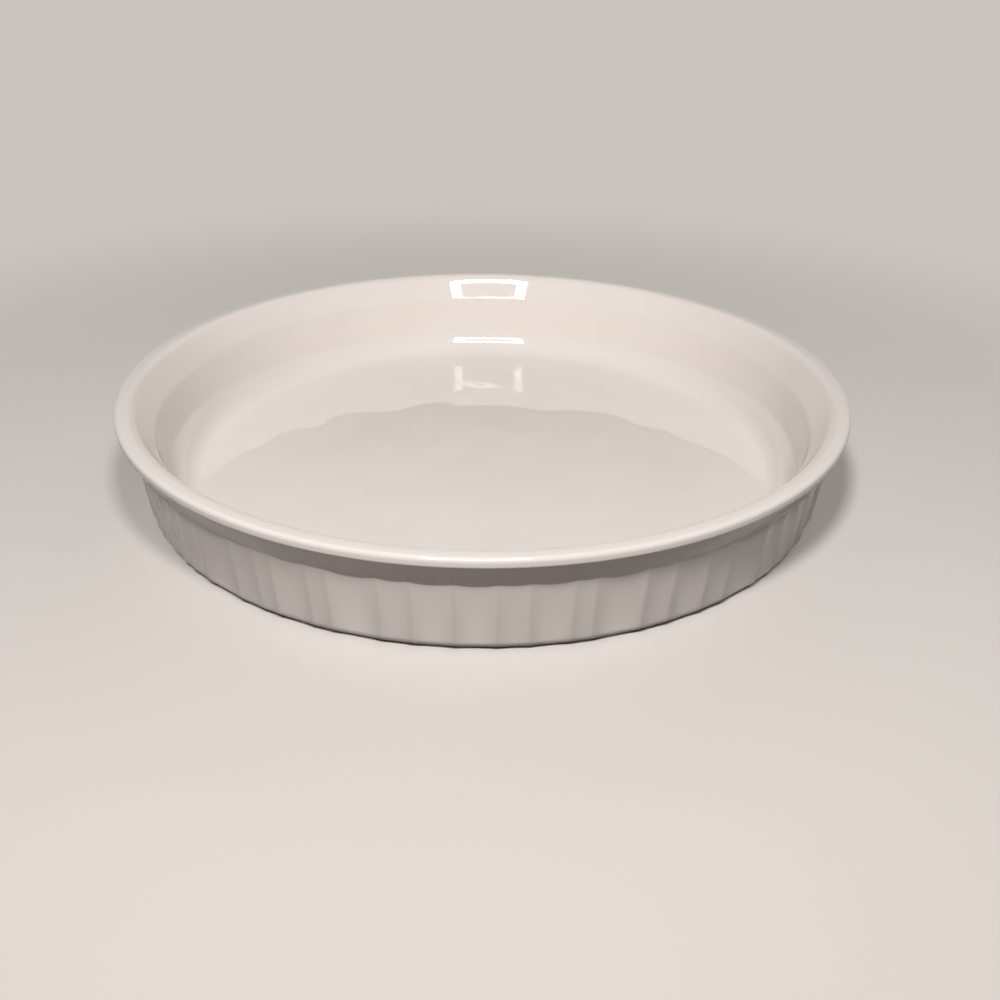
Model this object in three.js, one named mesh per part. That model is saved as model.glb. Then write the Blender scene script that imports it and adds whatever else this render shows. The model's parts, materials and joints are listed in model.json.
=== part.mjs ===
// A round fluted baking dish in white glazed stoneware.
// It is one fired piece, made here as what it is built from: the stoneware body,
// the glaze coat over its outside, lip and inside, and the glaze on its underside.
// Millimetres, +Z up. The origin is the middle of the foot ring, level with the table.

import * as THREE from 'three';

// Overall size
const dishDiameter = 254; // across the lip
const dishHeight = 35.3; // table to the top of the lip
const floorHeight = 4.5; // table to the inside floor

// Lip
const lipEdgeRound = 1.4; // radius of its rounded outer edge, above and below
const lipFace = 0.8; // upright stretch between those two rounds
const lipFlat = 1.6; // level stretch on top
const lipInnerRound = 3.5; // radius from the lip's top into the flared rim

// Smooth neck outside, flaring from the tops of the flutes out to the lip
const neckTilt = THREE.MathUtils.degToRad(31); // neck off the vertical
const neckHeight = 8.2; // lip's lower edge to the tops of the ridges

// Flared rim inside the dish, under the lip
const rimTilt = THREE.MathUtils.degToRad(33); // rim off the vertical
const rimDepth = 9.6; // lip's top to the bend between the rim and the wall below it
const rimBend = 8; // radius of that bend

// Wall, base and foot
const wallLean = 2.8; // how far the outside wall draws in from the neck to the base
const baseRound = 4; // radius from the outside wall into the base
const innerTilt = THREE.MathUtils.degToRad(13); // inside wall off the vertical
const coveRound = 10; // radius from the inside wall into the floor
const footWidth = 5; // bare ring that the dish stands on
const recessDepth = 0.8; // table to the glazed underside
const recessFlare = 1.6; // how far the foot ring's inner side slopes in

// Flutes: hollows of four widths, side by side, in a run that repeats around the wall.
// The widths are shares of the turn, which they fill together.
const fluteWidths = [
  3, 3, 2, 3, 5, 3, 2, 4, 2, 5, 3, 4, 4, 3, 4, 2, 5, 3, 4, 3, 5, 3, 3, 2, 3,
  5, 3, 4, 2, 3, 5, 4, 3, 2, 4, 3, 2,
];
const fluteRuns = 2; // repeats of that run in a full turn
const runStart = THREE.MathUtils.degToRad(-150.9); // turn angle of the ridge that starts a run
const fluteEdgeSlope = 0.18; // how steeply a hollow leaves its ridges
const fluteTopShare = 0.6; // what is left of a hollow's depth where it meets the neck

// Glaze
const glazeThickness = 0.4;
const bondGap = 0.05; // between the glaze and the clay under it
const glazeEdgeHeight = 0.6; // bare clay at the outer edge of the base

// Fineness of the round stretches
const sidesPerFlute = 4;
const baseRoundSteps = 1;
const lipEdgeSteps = 2;
const lipInnerSteps = 2;
const rimBendSteps = 1;
const coveSteps = 3;

// Places worked out from the sizes above
const lipRadius = dishDiameter / 2;
const lipLowerCentre = dishHeight - lipEdgeRound - lipFace;
const neckTop = {
  radius: lipRadius - lipEdgeRound * (1 - Math.cos(neckTilt)),
  height: lipLowerCentre - lipEdgeRound * Math.sin(neckTilt),
};
const neckFoot = {
  radius: neckTop.radius - neckHeight * Math.tan(neckTilt),
  height: neckTop.height - neckHeight,
};
const ridgeRadiusBase = neckFoot.radius - wallLean;
const outerTilt = Math.atan2(wallLean, neckFoot.height - baseRound);
const hollowRun = 1 / (Math.tan(neckTilt) - Math.tan(outerTilt)); // neck's extra reach down a hollow, per depth
const baseRoundCentre = ridgeRadiusBase - baseRound;
const lipTopInner = lipRadius - lipEdgeRound - lipFlat;
const rimTop = {
  radius: lipTopInner - lipInnerRound * Math.cos(rimTilt),
  height: dishHeight - lipInnerRound * (1 - Math.sin(rimTilt)),
};
const bendHeight = dishHeight - rimDepth;
const bendRadius = rimTop.radius - (rimTop.height - bendHeight) * Math.tan(rimTilt);
const bendReach = rimBend / (1 + Math.cos(rimTilt - innerTilt));
const bendCentre = {
  radius: bendRadius + bendReach * (Math.cos(rimTilt) + Math.cos(innerTilt)),
  height: bendHeight - bendReach * (Math.sin(rimTilt) + Math.sin(innerTilt)),
};
const innerWallFoot = floorHeight + coveRound * (1 - Math.sin(innerTilt));
const innerWallFootRadius = bendRadius - (bendHeight - innerWallFoot) * Math.tan(innerTilt);
const floorRadius = innerWallFootRadius - coveRound * Math.cos(innerTilt);
const footOuterRadius = baseRoundCentre;
const footInnerRadius = footOuterRadius - footWidth;
const bodyDepth = glazeThickness + bondGap; // clay surface below the glazed surface

// The points of a fluted ring, each with its turn angle and its depth below the circle
// through the ridges. Every flute starts with its ridge.
function flutePoints() {
  const runWidth = fluteWidths.reduce((sum, width) => sum + width, 0);
  const anglePerWidth = (2 * Math.PI) / (runWidth * fluteRuns);
  const points = [];
  let ridgeAngle = runStart;
  for (let run = 0; run < fluteRuns; run += 1) {
    for (const width of fluteWidths) {
      const halfAngle = (width * anglePerWidth) / 2;
      const chord = 2 * ridgeRadiusBase * Math.sin(halfAngle);
      for (let side = 0; side < sidesPerFlute; side += 1) {
        const along = side / sidesPerFlute;
        const fromMiddle = (2 * along - 1) * halfAngle;
        const chordDip = ridgeRadiusBase * (1 - Math.cos(halfAngle) / Math.cos(fromMiddle));
        const hollow = fluteEdgeSlope * chord * along * (1 - along);
        points.push({ angle: ridgeAngle + halfAngle + fromMiddle, depth: chordDip + hollow });
      }
      ridgeAngle += 2 * halfAngle;
    }
  }
  return points;
}

const fluted = flutePoints();

// One ring of points around the axis. A fluted ring has every point, a plain one those at the ridges.
// A ring with a run dips lower the deeper its hollow is, where the neck reaches down into the flutes.
function makeRing(radius, height, fluteShare, run = 0) {
  const stride = fluteShare > 0 ? 1 : sidesPerFlute;
  const ring = [];
  for (let i = 0; i < fluted.length; i += stride) {
    const { angle, depth } = fluted[i];
    const dip = fluteShare * depth;
    const reach = radius - dip * (1 + run * Math.tan(outerTilt));
    ring.push(new THREE.Vector3(reach * Math.cos(angle), reach * Math.sin(angle), height - dip * run));
  }
  return ring;
}

function axisPoint(height) {
  return [new THREE.Vector3(0, 0, height)];
}

// A place on the glazed outline: where it is, which way it faces, how much of the flutes it has,
// and how far it runs down into them.
function place(radius, height, facing, fluteShare = 0, run = 0) {
  return { radius, height, facing, fluteShare, run };
}

// Places along an arc. The outline faces away from the centre, or towards it in a hollow corner.
function arcPlaces(centreRadius, centreHeight, round, fromFacing, toFacing, steps, share, hollow = false) {
  const places = [];
  for (let step = 0; step <= steps; step += 1) {
    const facing = fromFacing + ((toFacing - fromFacing) * step) / steps;
    const side = hollow ? -round : round;
    places.push(place(
      centreRadius + side * Math.cos(facing),
      centreHeight + side * Math.sin(facing),
      facing,
      share(step / steps),
    ));
  }
  return places;
}

// The glazed outline from the base, up the outside, over the lip and down to the edge of the floor.
function glazedOutline() {
  const up = Math.PI / 2;
  const rimFacing = Math.PI - rimTilt;
  const wallFacing = Math.PI - innerTilt;
  const full = () => 1;
  const plain = () => 0;
  const glazeEdge = -Math.asin((baseRound - glazeEdgeHeight) / baseRound);
  return [
    ...arcPlaces(baseRoundCentre, baseRound, baseRound, glazeEdge, -outerTilt, baseRoundSteps, full),
    place(neckFoot.radius, neckFoot.height, -(outerTilt + neckTilt) / 2, fluteTopShare, hollowRun),
    ...arcPlaces(lipRadius - lipEdgeRound, lipLowerCentre, lipEdgeRound, -neckTilt, 0, lipEdgeSteps, plain),
    ...arcPlaces(lipRadius - lipEdgeRound, dishHeight - lipEdgeRound, lipEdgeRound, 0, up, lipEdgeSteps, plain),
    ...arcPlaces(lipTopInner, dishHeight - lipInnerRound, lipInnerRound,
      up, rimFacing, lipInnerSteps, plain),
    ...arcPlaces(bendCentre.radius, bendCentre.height, rimBend,
      rimFacing, wallFacing, rimBendSteps, plain),
    ...arcPlaces(floorRadius, floorHeight + coveRound, coveRound, wallFacing, up, coveSteps, plain, true),
  ];
}

// The rings of the outline's surface, taken in by some depth, with the middle of the floor last.
function surfaceRings(depth) {
  const rings = glazedOutline().map(({ radius, height, facing, fluteShare, run }) => makeRing(
    radius - depth * Math.cos(facing),
    height - depth * Math.sin(facing),
    fluteShare,
    run,
  ));
  rings.push(axisPoint(floorHeight - depth));
  return rings;
}

// A closed mesh that grows by bands between rings.
class Shell {
  constructor() {
    this.points = [];
    this.triangles = [];
    this.firstIndex = new Map();
  }

  indexOf(ring, position) {
    if (!this.firstIndex.has(ring)) {
      this.firstIndex.set(ring, this.points.length);
      this.points.push(...ring);
    }
    return this.firstIndex.get(ring) + (position % ring.length);
  }

  // Faces point to the right of the way from one ring to the next, or to the left when flipped.
  addTriangle(corners, flipped) {
    const [a, b, c] = corners.map(([ring, position]) => this.indexOf(ring, position));
    this.triangles.push(...(flipped ? [a, c, b] : [a, b, c]));
  }

  addBand(from, to, flipped = false) {
    if (from.length === 1 || to.length === 1) {
      this.addFan(from, to, flipped);
    } else if (from.length === to.length) {
      this.addEvenBand(from, to, flipped);
    } else {
      this.addUnevenBand(from, to, flipped);
    }
  }

  addFan(from, to, flipped) {
    const steps = Math.max(from.length, to.length);
    for (let i = 0; i < steps; i += 1) {
      const corners = to.length === 1
        ? [[from, i], [from, i + 1], [to, 0]]
        : [[from, 0], [to, i + 1], [to, i]];
      this.addTriangle(corners, flipped);
    }
  }

  addEvenBand(from, to, flipped) {
    for (let i = 0; i < from.length; i += 1) {
      this.addTriangle([[from, i], [from, i + 1], [to, i]], flipped);
      this.addTriangle([[from, i + 1], [to, i + 1], [to, i]], flipped);
    }
  }

  // A fine ring meets a coarse one: each coarse side takes several fine sides.
  addUnevenBand(from, to, flipped) {
    const fineFirst = from.length > to.length;
    const [fine, coarse] = fineFirst ? [from, to] : [to, from];
    const turned = fineFirst ? flipped : !flipped;
    const ratio = fine.length / coarse.length;
    const split = Math.floor(ratio / 2);
    for (let i = 0; i < coarse.length; i += 1) {
      for (let part = 0; part < ratio; part += 1) {
        const start = i * ratio + part;
        const corner = part < split ? i : i + 1;
        this.addTriangle([[fine, start], [fine, start + 1], [coarse, corner]], turned);
      }
      this.addTriangle([[fine, i * ratio + split], [coarse, i + 1], [coarse, i]], turned);
    }
  }

  addBands(rings, flipped = false) {
    for (let i = 1; i < rings.length; i += 1) {
      this.addBand(rings[i - 1], rings[i], flipped);
    }
  }

  toGeometry() {
    const geometry = new THREE.BufferGeometry();
    const values = this.points.flatMap((point) => point.toArray());
    geometry.setAttribute('position', new THREE.Float32BufferAttribute(values, 3));
    geometry.setIndex(this.triangles);
    geometry.computeVertexNormals();
    return geometry;
  }
}

// The recess's sloping side, at some height above the table.
const recessCeiling = recessDepth + bodyDepth;

function recessRadius(height) {
  return footInnerRadius - (recessFlare * height) / recessCeiling;
}

function stonewareBody() {
  const shell = new Shell();
  const skin = surfaceRings(bodyDepth);
  shell.addBands([
    axisPoint(recessCeiling),
    makeRing(recessRadius(recessCeiling), recessCeiling, 0),
    makeRing(footInnerRadius, 0, 0),
    makeRing(footOuterRadius, 0, 0),
    ...skin,
  ]);
  return shell.toGeometry();
}

function glazeCoat() {
  const shell = new Shell();
  const outside = surfaceRings(0);
  const bonded = surfaceRings(glazeThickness);
  shell.addBands(outside);
  shell.addBands(bonded, true);
  shell.addBand(bonded[0], outside[0]);
  return shell.toGeometry();
}

function undersideGlaze() {
  const shell = new Shell();
  const top = recessDepth + glazeThickness;
  const sideGap = 2 * bondGap;
  shell.addBands([
    axisPoint(recessDepth),
    makeRing(recessRadius(recessDepth) - sideGap, recessDepth, 0),
    makeRing(recessRadius(top) - sideGap, top, 0),
    axisPoint(top),
  ]);
  return shell.toGeometry();
}

function piece(name, geometry, color, roughness) {
  const material = new THREE.MeshStandardMaterial({ color, roughness, metalness: 0 });
  const mesh = new THREE.Mesh(geometry, material);
  mesh.name = name;
  return mesh;
}

const dish = new THREE.Group();
dish.name = 'round_baking_dish';
dish.add(piece('stoneware_body', stonewareBody(), 0xd9cfc0, 0.85));
dish.add(piece('glaze_coat', glazeCoat(), 0xefe9e2, 0.12));
dish.add(piece('underside_glaze', undersideGlaze(), 0xece6de, 0.2));

export default dish;
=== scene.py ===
import bpy
import json
import math
from mathutils import Matrix, Vector, noise

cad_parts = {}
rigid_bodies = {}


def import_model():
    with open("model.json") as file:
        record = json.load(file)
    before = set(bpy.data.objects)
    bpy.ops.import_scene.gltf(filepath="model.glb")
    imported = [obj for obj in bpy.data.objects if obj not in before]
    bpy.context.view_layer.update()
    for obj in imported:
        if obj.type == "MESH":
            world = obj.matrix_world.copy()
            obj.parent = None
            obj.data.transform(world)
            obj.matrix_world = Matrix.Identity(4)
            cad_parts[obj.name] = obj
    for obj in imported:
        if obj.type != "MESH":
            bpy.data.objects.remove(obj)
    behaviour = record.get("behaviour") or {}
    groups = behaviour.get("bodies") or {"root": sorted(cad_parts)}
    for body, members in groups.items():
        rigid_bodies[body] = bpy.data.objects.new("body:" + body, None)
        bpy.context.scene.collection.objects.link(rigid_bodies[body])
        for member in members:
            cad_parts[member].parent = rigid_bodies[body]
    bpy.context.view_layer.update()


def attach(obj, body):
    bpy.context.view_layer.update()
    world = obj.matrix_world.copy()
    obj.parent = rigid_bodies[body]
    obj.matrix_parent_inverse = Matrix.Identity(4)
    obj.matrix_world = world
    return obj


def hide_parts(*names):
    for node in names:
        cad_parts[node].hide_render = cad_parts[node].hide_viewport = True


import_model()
mm = 0.001

# Straight up and straight down, as the angle that an outline faces above level
up = math.pi / 2
down = -math.pi / 2

# How close counts as the same, in millimetres; then a slack in radians, and welding in metres
sameRing = 1e-5
sameMeasure = 1e-3
floorSlack = 0.01
angleSlack = 1e-7
weldDistance = 1e-7

# The turned outline of the dish in millimetres, shared by the clay and the glaze
dish = {
    "radius": 127.0, "height": 35.3, "floor": 4.5,
    "lipEdgeRound": 1.4, "lipFace": 1.0, "lipLowerRound": 1.0, "lipFlat": 2.4, "lipInnerRound": 4.0,
    "neckTilt": math.radians(31), "neckHeight": 8.2, "neckCrease": 0.25,
    "rimTilt": math.radians(33), "rimDepth": 9.6, "rimBend": 8.0,
    "wallLean": 2.8, "baseRound": 4.0, "wallTilt": math.radians(13),
    "coveTilts": (math.radians(30), math.radians(38)), "coveRounds": (8.0, 30.0, 8.5),
    "footWidth": 5.0, "recessDepth": 0.8, "recessFlare": 1.6,
    "glaze": 0.4, "bond": 0.05, "bareEdge": 0.35,
}

# Hollows side by side round the outside; the widths are shares of half a turn
flutes = {
    "widths": [3, 3, 2, 3, 5, 3, 2, 4, 2, 5, 3, 4, 4, 3, 4, 2, 5, 3, 4, 3, 5, 3, 3, 2, 3,
               5, 3, 4, 2, 3, 5, 4, 3, 2, 4, 3, 2],
    "runs": 2,
    "start": math.radians(-150.9),
    "edgeSlope": 0.2,
    "neckShare": 0.6,
}

# The floor's crown and waves in millimetres; the waves fade over the last quarter of its radius
swell = {"crown": 1.3, "wave": 0.2, "waveLength": 16.0, "waveFade": 0.25}

# Steps of each round, for the coarser of the two outlines
arcSteps = {"base": 3, "lip": 3, "lipInner": 4, "bend": 4, "cove": 3}

# Lip, neck and outside wall
lipTopOuter = dish["radius"] - dish["lipEdgeRound"]
lipTopInner = lipTopOuter - dish["lipFlat"]
lipLowerMiddle = dish["height"] - dish["lipEdgeRound"] - dish["lipFace"]
neckTopRadius = dish["radius"] - dish["lipLowerRound"] * (1 - math.cos(dish["neckTilt"]))
neckFoot = lipLowerMiddle - dish["lipLowerRound"] * math.sin(dish["neckTilt"]) - dish["neckHeight"]
ridgeTop = neckTopRadius - dish["neckHeight"] * math.tan(dish["neckTilt"])
ridgeBase = ridgeTop - dish["wallLean"]
outerTilt = math.atan2(dish["wallLean"], neckFoot - dish["baseRound"])
hollowRun = 1 / (math.tan(dish["neckTilt"]) - math.tan(outerTilt))

# Flared rim, inner wall and cove
bendHeight = dish["height"] - dish["rimDepth"]
rimTopRadius = lipTopInner - dish["lipInnerRound"] * math.cos(dish["rimTilt"])
rimTopHeight = dish["height"] - dish["lipInnerRound"] * (1 - math.sin(dish["rimTilt"]))
bendRadius = rimTopRadius - (rimTopHeight - bendHeight) * math.tan(dish["rimTilt"])
bendReach = dish["rimBend"] / (1 + math.cos(dish["rimTilt"] - dish["wallTilt"]))
bendMiddleRadius = bendRadius + bendReach * (math.cos(dish["rimTilt"]) + math.cos(dish["wallTilt"]))
bendMiddleHeight = bendHeight - bendReach * (math.sin(dish["rimTilt"]) + math.sin(dish["wallTilt"]))
coveTurns = (dish["wallTilt"], *dish["coveTilts"], up)
coveArcs = list(zip(dish["coveRounds"], coveTurns[:-1], coveTurns[1:]))
coveRise = sum(size * (math.sin(end) - math.sin(start)) for size, start, end in coveArcs)
coveReach = sum(size * (math.cos(start) - math.cos(end)) for size, start, end in coveArcs)
wallFoot = dish["floor"] + coveRise
wallFootRadius = bendRadius - (bendHeight - wallFoot) * math.tan(dish["wallTilt"])
floorRadius = wallFootRadius - coveReach

# Foot ring and the recess inside it
clayDepth = dish["glaze"] + dish["bond"]
footOuter = ridgeBase - dish["baseRound"]
footInner = footOuter - dish["footWidth"]
recessCeiling = dish["recessDepth"] + clayDepth


def recessRadius(height):
    return footInner - dish["recessFlare"] * height / recessCeiling


# One place of an outline: radius, height, which way it faces, its share of the flutes, and how far
# it runs down a hollow for each millimetre of depth
def arcPlaces(middle, size, facings, steps, shares=(0, 0), hollow=False):
    side = -size if hollow else size
    places = []
    for step in range(steps + 1):
        along = step / steps
        facing = facings[0] + (facings[1] - facings[0]) * along
        share = shares[0] + (shares[1] - shares[0]) * along
        radius = middle[0] + side * math.cos(facing)
        height = middle[1] + side * math.sin(facing)
        places.append((radius, height, facing, share, 0))
    return places


# The same outline a little further in, for the clay under the glaze
def takeIn(places, depth):
    inner = []
    for radius, height, facing, share, run in places:
        innerRadius = radius - depth * math.cos(facing)
        innerHeight = height - depth * math.sin(facing)
        inner.append((innerRadius, innerHeight, facing, share, run))
    return inner


# From the base up the outside, to the outer side of the lip's flat top
def outsidePlaces(startFacing, fine):
    base = arcPlaces((footOuter, dish["baseRound"]), dish["baseRound"], (startFacing, -outerTilt),
                     arcSteps["base"] * fine, shares=(0, 1))
    crease = []
    middleFacing = -(outerTilt + dish["neckTilt"]) / 2
    for step, lean, facing in (
        (-1, outerTilt, -outerTilt),
        (0, dish["neckTilt"], middleFacing),
        (1, dish["neckTilt"], -dish["neckTilt"]),
    ):
        reach = step * dish["neckCrease"]
        radius = ridgeTop + reach * math.tan(lean)
        crease.append((radius, neckFoot + reach, facing, flutes["neckShare"], hollowRun))
    lipLower = arcPlaces((dish["radius"] - dish["lipLowerRound"], lipLowerMiddle), dish["lipLowerRound"],
                         (-dish["neckTilt"], 0), arcSteps["lip"] * fine)
    lipUpper = arcPlaces((lipTopOuter, dish["height"] - dish["lipEdgeRound"]), dish["lipEdgeRound"],
                         (0, up), arcSteps["lip"] * fine)
    return base + crease + lipLower + lipUpper


# From the inner side of the lip's flat top, down the inside to the edge of the floor
def insidePlaces(fine):
    rimFacing = math.pi - dish["rimTilt"]
    wallFacing = math.pi - dish["wallTilt"]
    places = arcPlaces((lipTopInner, dish["height"] - dish["lipInnerRound"]), dish["lipInnerRound"],
                       (up, rimFacing), arcSteps["lipInner"] * fine)
    places += arcPlaces((bendMiddleRadius, bendMiddleHeight), dish["rimBend"],
                        (rimFacing, wallFacing), arcSteps["bend"] * fine)
    radius, height = wallFootRadius, wallFoot
    for size, start, end in coveArcs:
        middle = (radius - size * math.cos(start), height + size * math.sin(start))
        facings = (math.pi - start, math.pi - end)
        places += arcPlaces(middle, size, facings, arcSteps["cove"] * fine, hollow=True)
        radius, height = places[-1][:2]
    return places


# How far a flute dips below the circle through the ridges, in millimetres
def fluteDepth(angle):
    shareAngle = 2 * math.pi / (sum(flutes["widths"]) * flutes["runs"])
    past = (angle - flutes["start"] + angleSlack) % (2 * math.pi / flutes["runs"])
    for width in flutes["widths"]:
        wide = width * shareAngle
        if past < wide:
            break
        past -= wide
    along = min(past / wide, 1)
    chord = 2 * ridgeBase * math.sin(wide / 2)
    chordDip = ridgeBase * (1 - math.cos(wide / 2) / math.cos(past - wide / 2))
    return chordDip + flutes["edgeSlope"] * chord * along * (1 - along)


def deselectAll():
    if bpy.context.object and bpy.context.object.mode != "OBJECT":
        bpy.ops.object.mode_set(mode="OBJECT")
    bpy.ops.object.select_all(action="DESELECT")


def useOnly(piece):
    deselectAll()
    piece.select_set(True)
    bpy.context.view_layer.objects.active = piece


# A circle at the first place, drawn out ring by ring through the others
def turnRings(places, sides):
    radius, height = places[0][:2]
    bpy.ops.mesh.primitive_circle_add(
        vertices=sides, radius=radius * mm, location=(0, 0, height * mm),
        rotation=(0, 0, flutes["start"] - up))
    if bpy.context.object.mode != "EDIT":
        bpy.ops.object.transform_apply(location=True, rotation=True, scale=True)
        bpy.ops.object.mode_set(mode="EDIT")
        bpy.ops.mesh.select_mode(type="VERT")
        bpy.ops.mesh.select_all(action="SELECT")
    for nextRadius, nextHeight, *rest in places[1:]:
        if math.dist((radius, height), (nextRadius, nextHeight)) < sameRing:
            continue
        rise = (nextHeight - height) * mm
        bpy.ops.mesh.extrude_region_move(TRANSFORM_OT_translate={"value": (0, 0, rise)})
        grow = nextRadius / radius
        bpy.ops.transform.resize(value=(grow, grow, 1), center_override=(0, 0, 0))
        radius, height = nextRadius, nextHeight


def selectPlaces(piece, test):
    bpy.ops.object.mode_set(mode="OBJECT")
    mesh = piece.data
    for part in list(mesh.polygons) + list(mesh.edges):
        part.select = False
    for vertex in mesh.vertices:
        radius = math.hypot(vertex.co.x, vertex.co.y) / mm
        vertex.select = test(radius, vertex.co.z / mm)
    bpy.ops.object.mode_set(mode="EDIT")


def closePiece():
    bpy.ops.mesh.select_all(action="SELECT")
    bpy.ops.mesh.remove_doubles(threshold=weldDistance)
    bpy.ops.mesh.normals_make_consistent(inside=False)
    bpy.ops.object.mode_set(mode="OBJECT")


def near(first, second):
    return abs(first - second) < sameMeasure


# Weights some points and pushes them along their normals, or one axis; millimetres, all of one sign
def pushPoints(piece, heights, direction="NORMAL"):
    furthest = max(heights.values(), key=abs)
    group = piece.vertex_groups.new(name="shaping")
    for index, height in heights.items():
        group.add([index], height / furthest, "REPLACE")
    push = piece.modifiers.new("shaping", "DISPLACE")
    push.direction = direction
    push.vertex_group = group.name
    push.mid_level = 0
    push.strength = furthest * mm
    useOnly(piece)
    bpy.ops.object.modifier_apply(modifier=push.name)
    piece.vertex_groups.clear()


# Presses each outside ring in by its share of the flutes. Where the neck meets the wall, a point also
# runs down its hollow, so that the edge between them is scalloped
def pressFlutes(piece, places):
    rings = []
    for place in places:
        if not rings or math.dist(rings[-1][:2], place[:2]) >= sameRing:
            rings.append(place)
    dips = {}
    runs = {}
    for vertex in piece.data.vertices:
        radius = math.hypot(vertex.co.x, vertex.co.y) / mm
        for ringRadius, ringHeight, facing, share, run in rings:
            if near(radius, ringRadius) and near(vertex.co.z / mm, ringHeight):
                dip = share * fluteDepth(math.atan2(vertex.co.y, vertex.co.x))
                if run > 0:
                    inward = dip * (1 + run * math.tan(outerTilt)) / math.cos(facing)
                    dips[vertex.index] = -inward
                    runs[vertex.index] = inward * math.sin(facing) - dip * run
                elif share > 0:
                    dips[vertex.index] = -dip
                break
    pushPoints(piece, dips)
    pushPoints(piece, runs, "Z")
    return dips


# The floor is not quite flat: a low crown, and slow waves left by the mould
def floorSwell(x, y):
    reach = math.hypot(x, y) / floorRadius
    if reach >= 1:
        return 0
    crown = swell["crown"] * (1 - reach ** 2) ** 2
    fade = min(1, (1 - reach) / swell["waveFade"])
    return crown + noise.noise(Vector((x, y, 0)) / swell["waveLength"]) * swell["wave"] * fade


def swellFloor(piece, floorHeight):
    rises = {}
    falls = {}
    for vertex in piece.data.vertices:
        if abs(vertex.co.z / mm - floorHeight) < floorSlack:
            rise = floorSwell(vertex.co.x / mm, vertex.co.y / mm)
            if rise > 0:
                rises[vertex.index] = rise
            elif rise < 0:
                falls[vertex.index] = rise
    pushPoints(piece, rises, "Z")
    if falls:
        pushPoints(piece, falls, "Z")


def smooth(piece):
    useOnly(piece)
    bpy.ops.object.shade_smooth()


# Glaze coat: one skin over the outside, the lip and the whole inside. The glaze runs thin on each
# ridge, to a depth in millimetres
coat = {"outsideSides": 984, "insideSides": 246, "fine": 2, "floorSpan": 61, "thinDepth": 0.12}
glazeEdge = -math.asin((dish["baseRound"] - dish["bareEdge"]) / dish["baseRound"])
outside = outsidePlaces(glazeEdge, coat["fine"])
inside = insidePlaces(coat["fine"])


def onLipTop(radius, height):
    return near(height, dish["height"]) and (near(radius, lipTopOuter) or near(radius, lipTopInner))


deselectAll()
turnRings(outside, coat["outsideSides"])
glazeCoat = bpy.context.object
glazeCoat.name = "glaze_coat_skin"
bpy.ops.mesh.select_all(action="DESELECT")
turnRings(inside, coat["insideSides"])
bpy.ops.mesh.fill_grid(span=coat["floorSpan"])
selectPlaces(glazeCoat, onLipTop)
bpy.ops.mesh.bridge_edge_loops()
closePiece()
dips = pressFlutes(glazeCoat, outside)
swellFloor(glazeCoat, dish["floor"])
thinGlaze = glazeCoat.data.attributes.new("thinGlaze", "FLOAT", "POINT")
for index, dip in dips.items():
    thinGlaze.data[index].value = max(0, 1 + dip / coat["thinDepth"])
thickness = glazeCoat.modifiers.new("thickness", "SOLIDIFY")
thickness.thickness = dish["glaze"] * mm
thickness.offset = -1
thickness.use_even_offset = True
useOnly(glazeCoat)
bpy.ops.object.modifier_apply(modifier=thickness.name)
smooth(glazeCoat)
print("glaze coat:", len(glazeCoat.data.polygons), "faces")

# Stoneware body: the clay under the glaze, with a bare foot ring
body = {"sides": 492, "fine": 1, "footSoftening": 0.35, "footEaseShare": 0.3, "underSpan": 123}
clayOutside = takeIn(outsidePlaces(down, body["fine"]), clayDepth)
clayInside = takeIn(insidePlaces(body["fine"]), clayDepth)
ceilingRadius = recessRadius(recessCeiling)
footSoft = body["footSoftening"]
footEase = body["footEaseShare"] * footSoft
footPlaces = [
    (ceilingRadius, recessCeiling),
    (footInner - footSoft, footSoft), (footInner - footEase, footEase),
    (footInner + footSoft, 0), (footOuter - footSoft, 0),
]


def onCeilingEdge(radius, height):
    return near(height, recessCeiling) and near(radius, ceilingRadius)


deselectAll()
turnRings(footPlaces + clayOutside[1:] + clayInside, body["sides"])
stonewareBody = bpy.context.object
stonewareBody.name = "stoneware_clay"
bpy.ops.mesh.fill_grid(span=body["underSpan"])
selectPlaces(stonewareBody, onCeilingEdge)
bpy.ops.mesh.fill_grid(span=body["underSpan"])
closePiece()
pressFlutes(stonewareBody, clayOutside)
swellFloor(stonewareBody, dish["floor"] - clayDepth)
smooth(stonewareBody)
print("stoneware body:", len(stonewareBody.data.polygons), "faces")

# Underside glaze: a thin pool inside the foot ring
pool = {"sides": 246, "span": 61, "edgeSoftening": 0.12}
poolTop = dish["recessDepth"] + dish["glaze"]
poolRadius = recessRadius(poolTop) - 2 * dish["bond"]
poolMouth = recessRadius(dish["recessDepth"]) - 2 * dish["bond"]
poolEase = pool["edgeSoftening"]
deselectAll()
turnRings([
    (poolRadius - poolEase, poolTop), (poolRadius, poolTop - poolEase),
    (poolMouth, dish["recessDepth"] + poolEase), (poolMouth - poolEase, dish["recessDepth"]),
], pool["sides"])
undersideGlaze = bpy.context.object
undersideGlaze.name = "underside_glaze_pool"
bpy.ops.mesh.fill_grid(span=pool["span"])
selectPlaces(undersideGlaze, lambda radius, height: near(height, poolTop))
bpy.ops.mesh.fill_grid(span=pool["span"])
closePiece()
smooth(undersideGlaze)
print("underside glaze:", len(undersideGlaze.data.polygons), "faces")


# An sRGB hex colour as the linear colour that nodes take
def colour(hexValue):
    parts = [int(hexValue[start:start + 2], 16) / 255 for start in (1, 3, 5)]
    return [part / 12.92 if part <= 0.04045 else ((part + 0.055) / 1.055) ** 2.4 for part in parts] + [1]


def addNode(tree, kind, inputs=None, **settings):
    node = tree.nodes.new(kind)
    for setting, value in settings.items():
        setattr(node, setting, value)
    for socket, value in (inputs or {}).items():
        if isinstance(value, bpy.types.NodeSocket):
            tree.links.new(value, node.inputs[socket])
        else:
            node.inputs[socket].default_value = value
    return node


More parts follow.
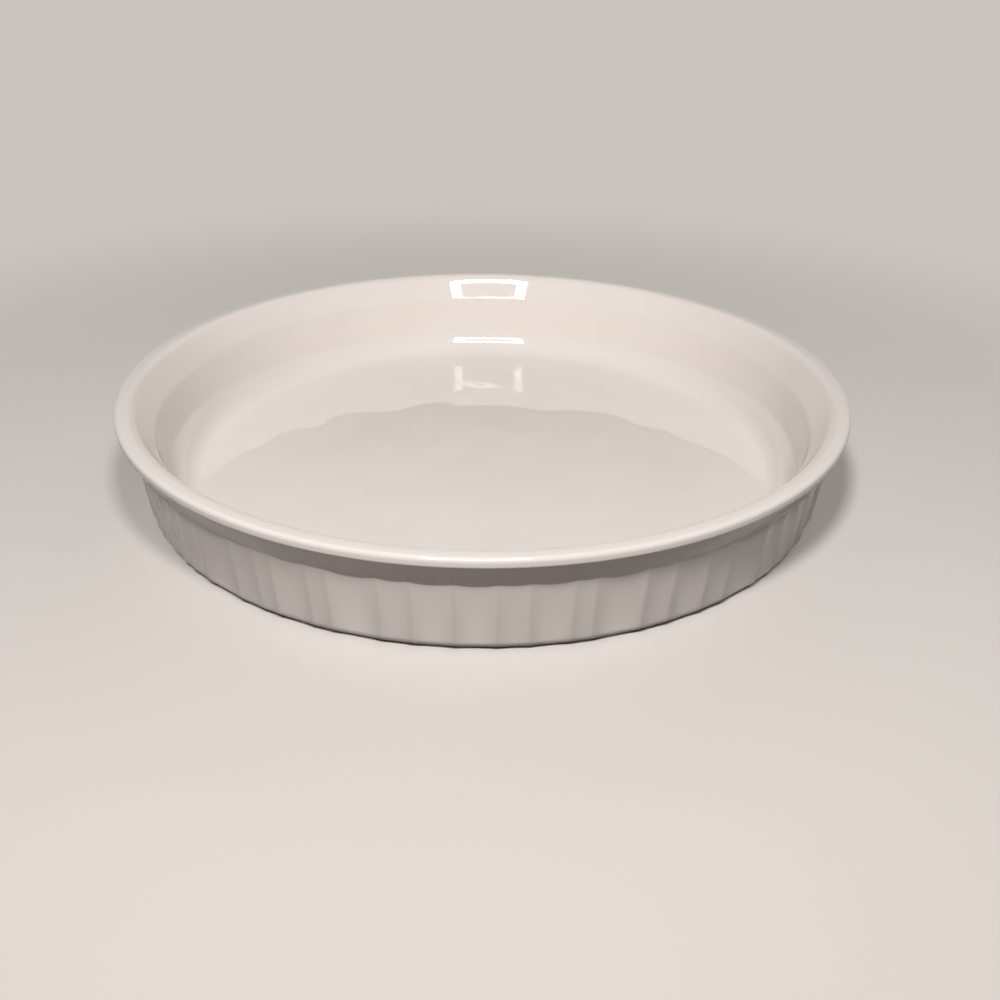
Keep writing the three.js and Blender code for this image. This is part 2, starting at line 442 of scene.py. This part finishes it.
# Noise whose patches are about one size across, in millimetres: its scale is 1 over that in metres
def addNoise(tree, place, size, detail, roughness=0.5):
    pattern = addNode(tree, "ShaderNodeTexNoise", {
        "Vector": place, "Scale": 1 / (size * mm), "Detail": detail, "Roughness": roughness})
    return pattern.outputs["Fac"]


def addRange(tree, value, start, end, **settings):
    return addNode(tree, "ShaderNodeMapRange", {
        "Value": value, "From Min": start[0], "From Max": start[1],
        "To Min": end[0], "To Max": end[1]}, **settings).outputs["Result"]


def addMath(tree, operation, first, second):
    return addNode(tree, "ShaderNodeMath", {0: first, 1: second}, operation=operation).outputs[0]


def mixColours(tree, share, first, second):
    mix = addNode(tree, "ShaderNodeMix", {"Factor": share, "A": first, "B": second}, data_type="RGBA")
    return mix.outputs[2]


def newMaterial(name):
    material = bpy.data.materials.new(name)
    material.use_nodes = True
    tree = material.node_tree
    tree.nodes.clear()
    return material, tree


# Feldspar glaze, dipped and fired glossy: a warm white with clear reflections, a little
# warmer where it runs thin over the ridges
def whiteGlaze(name, look):
    material, tree = newMaterial(name)
    place = addNode(tree, "ShaderNodeTexCoord").outputs["Object"]
    cloud = addNoise(tree, place, **look["cloud"])
    tone = mixColours(tree, cloud, colour(look["light"]), colour(look["shade"]))
    thin = addNode(tree, "ShaderNodeAttribute", attribute_name="thinGlaze")
    thinShare = addMath(tree, "MULTIPLY", thin.outputs["Fac"], look["thinShare"])
    warmed = mixColours(tree, thinShare, tone, colour(look["thin"]))
    sheen = addNoise(tree, place, **look["sheen"])
    rough = addRange(tree, sheen, look["sheenRange"], look["roughness"])
    peel = addNoise(tree, place, **look["peel"])
    bump = addNode(tree, "ShaderNodeBump", {
        "Height": peel, "Strength": 1.0, "Distance": look["peelDepth"] * mm})
    shader = addNode(tree, "ShaderNodeBsdfPrincipled", {
        "Base Color": warmed, "Roughness": rough, "IOR": look["ior"], "Normal": bump.outputs["Normal"]})
    addNode(tree, "ShaderNodeOutputMaterial", {"Surface": shader.outputs["BSDF"]})
    return material


# Fired stoneware left bare for the kiln: matt, sandy, pale buff
def bareStoneware(name, look):
    material, tree = newMaterial(name)
    place = addNode(tree, "ShaderNodeTexCoord").outputs["Object"]
    blush = addNoise(tree, place, **look["blush"])
    tone = mixColours(tree, blush, colour(look["light"]), colour(look["shade"]))
    grit = addNoise(tree, place, **look["grit"])
    fleck = addRange(tree, grit, look["fleckRange"], (0.0, look["fleckShare"]))
    flecked = mixColours(tree, fleck, tone, colour(look["fleck"]))
    rough = addRange(tree, grit, (0.0, 1.0), look["roughness"])
    bump = addNode(tree, "ShaderNodeBump", {
        "Height": grit, "Strength": 1.0, "Distance": look["gritDepth"] * mm})
    shader = addNode(tree, "ShaderNodeBsdfPrincipled", {
        "Base Color": flecked, "Roughness": rough, "IOR": look["ior"], "Normal": bump.outputs["Normal"]})
    addNode(tree, "ShaderNodeOutputMaterial", {"Surface": shader.outputs["BSDF"]})
    return material


glazeLook = {
    "light": "#e5ddd7", "shade": "#dfd6cf", "thin": "#d8cbc0", "thinShare": 0.4,
    "cloud": {"size": 45.0, "detail": 3.0, "roughness": 0.55},
    "sheen": {"size": 18.0, "detail": 2.0}, "sheenRange": (0.3, 0.7), "roughness": (0.014, 0.026),
    "peel": {"size": 7.0, "detail": 1.0}, "peelDepth": 0.004,
    "ior": 1.52,
}
poolLook = dict(glazeLook, roughness=(0.1, 0.2), peelDepth=0.02, shade="#d9cfc6")
clayLook = {
    "light": "#e0d4c3", "shade": "#d3c3ae", "blush": {"size": 22.0, "detail": 3.0},
    "fleck": "#a98f74", "fleckRange": (0.62, 0.7), "fleckShare": 0.5,
    "grit": {"size": 0.9, "detail": 2.0}, "gritDepth": 0.05, "roughness": (0.75, 0.95),
    "ior": 1.5,
}
glazeCoat.data.materials.append(whiteGlaze("glossyWhiteGlaze", glazeLook))
undersideGlaze.data.materials.append(whiteGlaze("kilnSideWhiteGlaze", poolLook))
stonewareBody.data.materials.append(bareStoneware("bareStoneware", clayLook))
print("materials: white glaze, underside glaze, bare stoneware")

for piece, node, slot in (
    (glazeCoat, "glaze_coat", "white_glaze"),
    (stonewareBody, "stoneware_body", "bare_stoneware"),
    (undersideGlaze, "underside_glaze", "white_glaze"),
):
    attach(piece, "root")
    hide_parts(node)

# Studio, in metres: a pale floor that fades to an even pale ground, and a room of the same colour
studio = {
    "floorSize": 30.0, "floorPale": "#cfc9c3", "floorBounce": "#242120",
    "ground": 0.95, "groundRange": (0.15, 0.42),
    "skyRange": (0.05, 0.3), "sky": (0.95, 0.03),
    "fillRange": (0.1, 0.8), "fill": (0.008, 0.12), "fillColour": "#ffeee6",
}


# 1 for the rays that show the ground and the room as they look, and 0 for those that carry their light
def shownRays(tree):
    light = addNode(tree, "ShaderNodeLightPath")
    shown = addMath(tree, "MAXIMUM", light.outputs["Is Camera Ray"], light.outputs["Is Glossy Ray"])
    return addMath(tree, "MAXIMUM", shown, light.outputs["Is Transmission Ray"])


deselectAll()
bpy.ops.mesh.primitive_plane_add(size=studio["floorSize"], location=(0, 0, 0))
floor = bpy.context.object
floor.name = "studio_floor"
floorMaterial, tree = newMaterial("paleFloor")
shown = shownRays(tree)
shade = mixColours(tree, shown, colour(studio["floorBounce"]), colour(studio["floorPale"]))
lit = addNode(tree, "ShaderNodeBsdfDiffuse", {"Color": shade})
even = addNode(tree, "ShaderNodeEmission", {
    "Color": colour(studio["floorPale"]), "Strength": studio["ground"]})
where = addNode(tree, "ShaderNodeTexCoord").outputs["Object"]
away = addNode(tree, "ShaderNodeVectorMath", {0: where}, operation="LENGTH").outputs["Value"]
fade = addRange(tree, away, studio["groundRange"], (0.0, 1.0), interpolation_type="SMOOTHSTEP")
share = addMath(tree, "MULTIPLY", fade, shown)
mixed = addNode(tree, "ShaderNodeMixShader", {0: share, 1: lit.outputs[0], 2: even.outputs[0]})
addNode(tree, "ShaderNodeOutputMaterial", {"Surface": mixed.outputs[0]})
floor.data.materials.append(floorMaterial)

# The room: pale near the horizon where it shows, and a weak fill, stronger from behind, where it lights
world = bpy.data.worlds.new("studioRoom")
bpy.context.scene.world = world
world.use_nodes = True
tree = world.node_tree
tree.nodes.clear()
shown = shownRays(tree)
direction = addNode(tree, "ShaderNodeTexCoord").outputs["Generated"]
axes = addNode(tree, "ShaderNodeSeparateXYZ", {0: direction})
sky = addRange(tree, axes.outputs["Z"], studio["skyRange"], studio["sky"],
               interpolation_type="SMOOTHSTEP")
fill = addRange(tree, axes.outputs["Y"], studio["fillRange"], studio["fill"],
                interpolation_type="SMOOTHSTEP")
strength = addNode(tree, "ShaderNodeMix", {"Factor": shown, "A": fill, "B": sky}, data_type="FLOAT")
tint = mixColours(tree, shown, colour(studio["fillColour"]), colour(studio["floorPale"]))
room = addNode(tree, "ShaderNodeBackground", {"Color": tint, "Strength": strength.outputs[0]})
addNode(tree, "ShaderNodeOutputWorld", {"Surface": room.outputs[0]})

# Lamps, in metres and watts: a frame of four bars that only shows mirrored in the glaze, and four
# soft lamps that light the dish and are not mirrored
lamps = {
    "aim": (0.0, 0.0, 0.02),
    "frameMiddle": (-0.02, -0.535, 0.781), "frameWidth": 0.360, "frameHeight": 0.125,
    "sideBar": 0.046, "topBar": 0.018, "bottomBar": 0.014, "frameGlow": 300.0,
    "keyReach": 0.205, "keyFront": -0.686, "keyHeight": 0.93,
    "keySize": 0.16, "keyPowers": (9.4, 5.7),
    "frontMiddle": (-0.06, -0.42, 0.15), "frontSize": 0.2, "frontPower": 0.12, "frontColour": "#ffe0cf",
    "backMiddle": (0.3, 0.95, 0.26), "backSize": 0.8, "backPower": 2.5,
}


def facingDish(middle):
    backWay = (middle - Vector(lamps["aim"])).normalized()
    sideWay = Vector((0, 0, 1)).cross(backWay).normalized()
    return sideWay, backWay.cross(sideWay), backWay


def addLamp(name, middle, ways, wide, tall, power):
    bpy.ops.object.light_add(type="AREA")
    lamp = bpy.context.object
    lamp.name = name
    lamp.data.shape = "RECTANGLE"
    lamp.data.size = wide
    lamp.data.size_y = tall
    lamp.data.energy = power
    lamp.visible_camera = False
    lamp.matrix_world = Matrix.Translation(middle) @ Matrix(ways).transposed().to_4x4()
    return lamp


def addSoftLamp(name, place, size, power):
    middle = Vector(place)
    lamp = addLamp(name, middle, facingDish(middle), size, size, power)
    lamp.visible_glossy = False
    return lamp


frameMiddle = Vector(lamps["frameMiddle"])
frameWays = facingDish(frameMiddle)
sideReach = (lamps["frameWidth"] - lamps["sideBar"]) / 2
sideLength = lamps["frameHeight"] - lamps["topBar"] - lamps["bottomBar"]
sideRise = (lamps["bottomBar"] - lamps["topBar"]) / 2
topReach = (lamps["frameHeight"] - lamps["topBar"]) / 2
bottomReach = (lamps["bottomBar"] - lamps["frameHeight"]) / 2
for name, across, along, wide, tall in (
    ("lampTop", 0, topReach, lamps["frameWidth"], lamps["topBar"]),
    ("lampBottom", 0, bottomReach, lamps["frameWidth"], lamps["bottomBar"]),
    ("lampLeft", -sideReach, sideRise, lamps["sideBar"], sideLength),
    ("lampRight", sideReach, sideRise, lamps["sideBar"], sideLength),
):
    place = frameMiddle + frameWays[0] * across + frameWays[1] * along
    bar = addLamp(name, place, frameWays, wide, tall, lamps["frameGlow"] * wide * tall)
    bar.visible_diffuse = False
for name, side, power in (("keyLeft", -1, lamps["keyPowers"][0]), ("keyRight", 1, lamps["keyPowers"][1])):
    place = (side * lamps["keyReach"], lamps["keyFront"], lamps["keyHeight"])
    addSoftLamp(name, place, lamps["keySize"], power)
front = addSoftLamp("softFront", lamps["frontMiddle"], lamps["frontSize"], lamps["frontPower"])
front.data.color = colour(lamps["frontColour"])[:3]
addSoftLamp("softBack", lamps["backMiddle"], lamps["backSize"], lamps["backPower"])
print("studio: floor, room and lamps")

# Camera fitted to the photograph's outline of the lip, wall and base
view = {
    "place": (0.0, -0.39867, 0.19657), "yaw": 0.01557, "pitch": 0.48601, "roll": 0.01170,
    "lens": 43.2, "sensor": 36.0, "nearest": 0.01,
}
forward = Vector((math.sin(view["yaw"]) * math.cos(view["pitch"]),
                  math.cos(view["yaw"]) * math.cos(view["pitch"]), -math.sin(view["pitch"])))
right = Vector((math.cos(view["yaw"]), -math.sin(view["yaw"]), 0))
above = right.cross(forward)
rolledRight = right * math.cos(view["roll"]) + above * math.sin(view["roll"])
rolledUp = above * math.cos(view["roll"]) - right * math.sin(view["roll"])
bpy.ops.object.camera_add()
camera = bpy.context.object
camera.data.lens = view["lens"]
camera.data.sensor_width = view["sensor"]
camera.data.clip_start = view["nearest"]
camera.matrix_world = (Matrix.Translation(Vector(view["place"]))
                       @ Matrix((rolledRight, rolledUp, -forward)).transposed().to_4x4())
bpy.context.scene.camera = camera
bpy.context.scene.view_settings.view_transform = "Standard"
print("camera placed")
